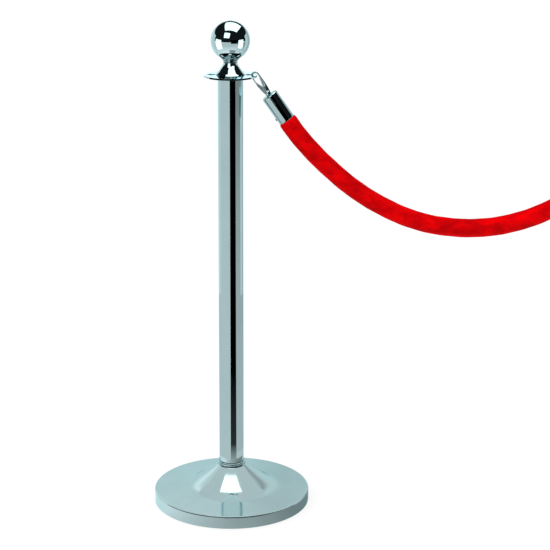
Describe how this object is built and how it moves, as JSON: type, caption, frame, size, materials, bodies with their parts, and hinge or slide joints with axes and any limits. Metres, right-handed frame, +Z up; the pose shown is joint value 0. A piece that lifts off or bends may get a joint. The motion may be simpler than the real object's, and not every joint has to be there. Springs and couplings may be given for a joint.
{
  "type": "rope barrier stanchion",
  "caption": "Free-standing chromed barrier post with a weighted round base, a ball finial and a crown plate of eyes, carrying a red velvet rope on swivelling snap hooks.",
  "frame": {"origin": "centre of the base on the floor", "axes": "+Z up the post; +X the side that the rope leaves on; -Y the front"},
  "size_m": [1.0698, 0.32, 1],
  "materials": {
    "chrome_plate": "polished chrome plate",
    "zinc_steel": "zinc-plated steel",
    "cast_weight": "painted casting",
    "rubber_ring": "matt",
    "red_velvet": "short-pile velvet",
    "cotton_core": "twisted cotton cord"
  },
  "bodies": {
    "post": {"floor_ring": "rubber_ring", "base_weight": "cast_weight", "base_washer": "zinc_steel", "tie_bolt": "zinc_steel", "base_cover": "chrome_plate", "foot_collar": "chrome_plate", "bottom_plug": "zinc_steel", "post_tube": "chrome_plate", "top_plug": "zinc_steel", "crown_plate": "chrome_plate", "bell": "chrome_plate", "ball_cup": "chrome_plate", "finial_ball": "chrome_plate", "ball_boss": "zinc_steel", "head_stud": "zinc_steel"},
    "rope": {"near_ferrule": "chrome_plate", "near_set_screw": "zinc_steel", "near_swivel_washer": "zinc_steel", "far_ferrule": "chrome_plate", "far_set_screw": "zinc_steel", "far_swivel_washer": "zinc_steel", "velvet_sleeve": "red_velvet", "rope_core": "cotton_core"},
    "near_hook": {"near_hook_body": "chrome_plate", "near_swivel_pivot": "zinc_steel", "near_gate_rivet": "zinc_steel", "near_gate_spring": "zinc_steel"},
    "near_gate": {"near_gate": "chrome_plate"},
    "far_hook": {"far_hook_body": "chrome_plate", "far_swivel_pivot": "zinc_steel", "far_gate_rivet": "zinc_steel", "far_gate_spring": "zinc_steel"},
    "far_gate": {"far_gate": "chrome_plate"}
  },
  "joints": [
    {"name": "rope_swing", "type": "hinge", "parent": "post", "child": "rope", "pos_m": [0.0487, 0, 0.8932], "axis": [1, 0, 0], "range_deg": [-24, 24]},
    {"name": "near_swivel", "type": "hinge", "parent": "rope", "child": "near_hook", "pos_m": [0.0764, 0, 0.8527], "axis": [-0.5764, 0, 0.8171], "range_deg": [-5, 5]},
    {"name": "near_gate_hinge", "type": "hinge", "parent": "near_hook", "child": "near_gate", "pos_m": [0.05946, 0, 0.86682], "axis": [0, 1, 0], "range_deg": [0, 24], "stiffness_Nm_per_rad": 0.01, "springref_deg": -28.65, "deforming": ["near_gate_spring"]},
    {"name": "far_swivel", "type": "hinge", "parent": "rope", "child": "far_hook", "pos_m": [0.8736, 0, 0.8527], "axis": [0.5764, 0, 0.8171], "continuous": true},
    {"name": "far_gate_hinge", "type": "hinge", "parent": "far_hook", "child": "far_gate", "pos_m": [0.89054, 0, 0.86682], "axis": [0, -1, 0], "range_deg": [0, 24], "stiffness_Nm_per_rad": 0.01, "springref_deg": -28.65, "deforming": ["far_gate_spring"]}
  ]
}
